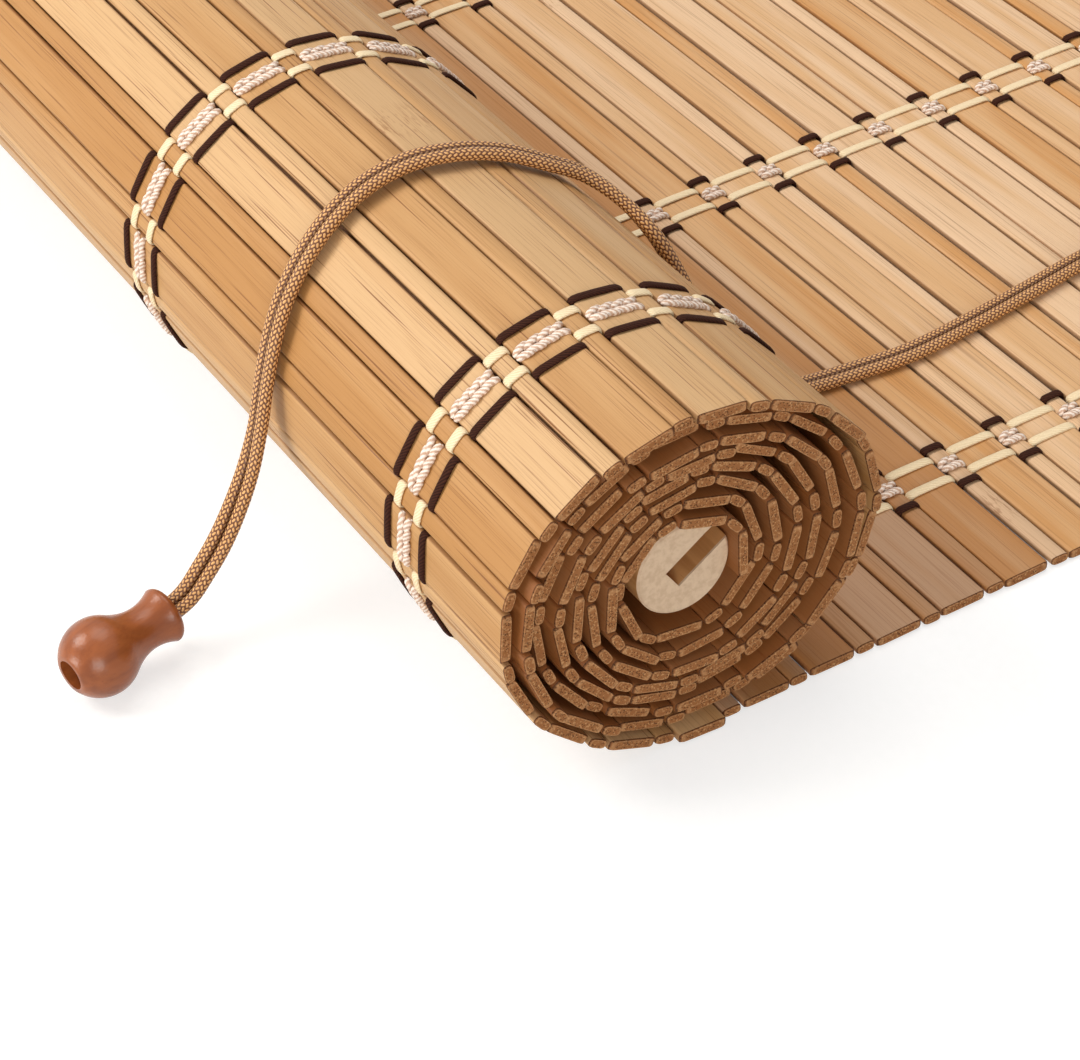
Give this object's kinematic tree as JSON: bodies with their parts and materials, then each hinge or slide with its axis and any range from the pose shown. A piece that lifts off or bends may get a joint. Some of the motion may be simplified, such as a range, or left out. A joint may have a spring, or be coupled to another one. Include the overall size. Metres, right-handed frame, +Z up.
{
  "type": "bamboo roll up blind",
  "caption": "Bamboo slat blind lying partly rolled round its slotted bottom rod, with woven thread bands, a head rail with cord lock and pulley, and a twin pull cord with a turned wooden knob.",
  "frame": {"origin": "middle of the object's footprint, on the surface that it lies on", "axes": "+Z up, +Y along the slats, +X along the drop from the roll to the head rail"},
  "size_m": [0.3238, 0.6, 0.0625],
  "materials": {
    "bamboo_slats": "satin",
    "brown_thread": "matt",
    "cream_thread": "matt",
    "pale_braid": "soft sheen",
    "rod_wood": "matt",
    "rail_wood": "satin",
    "steel": "satin",
    "brass": "satin",
    "pull_cord": "soft sheen",
    "knob_wood": "satin varnish"
  },
  "bodies": {
    "blind": {"rolled_mat": "bamboo_slats", "flat_mat": "bamboo_slats", "brown_threads": "brown_thread", "cream_threads": "cream_thread", "braid_threads": "pale_braid", "bottom_rod": "rod_wood", "end_slat": "bamboo_slats", "head_rail": "rail_wood", "hanger_near": "steel", "hanger_far": "steel", "mounting_screws": "steel", "lock_frame": "steel", "lock_axle": "brass", "pawl_pin": "brass", "pulley_frame": "steel", "pulley_axle": "brass", "cord_strand_a": "pull_cord", "cord_strand_b": "pull_cord", "pull_knob": "knob_wood", "cord_knot": "pull_cord"},
    "lower_wheel": {"lock_wheel_lower": "brass"},
    "upper_wheel": {"lock_wheel_upper": "brass"},
    "pawl": {"lock_pawl": "steel"},
    "far_wheel": {"pulley_wheel": "brass"}
  },
  "joints": [
    {"name": "lower_wheel_spin", "type": "hinge", "parent": "blind", "child": "lower_wheel", "pos_m": [0.10955, -0.222, 0.018], "axis": [0, 0, 1], "continuous": true},
    {"name": "upper_wheel_spin", "type": "hinge", "parent": "blind", "child": "upper_wheel", "pos_m": [0.10955, -0.222, 0.0233], "axis": [0, 0, 1], "continuous": true},
    {"name": "pawl_swing", "type": "hinge", "parent": "blind", "child": "pawl", "pos_m": [0.10455, -0.2354, 0.02], "axis": [0, 0, 1], "range_deg": [0, 35]},
    {"name": "far_wheel_spin", "type": "hinge", "parent": "blind", "child": "far_wheel", "pos_m": [0.10955, 0.222, 0.018], "axis": [0, 0, 1], "continuous": true}
  ]
}
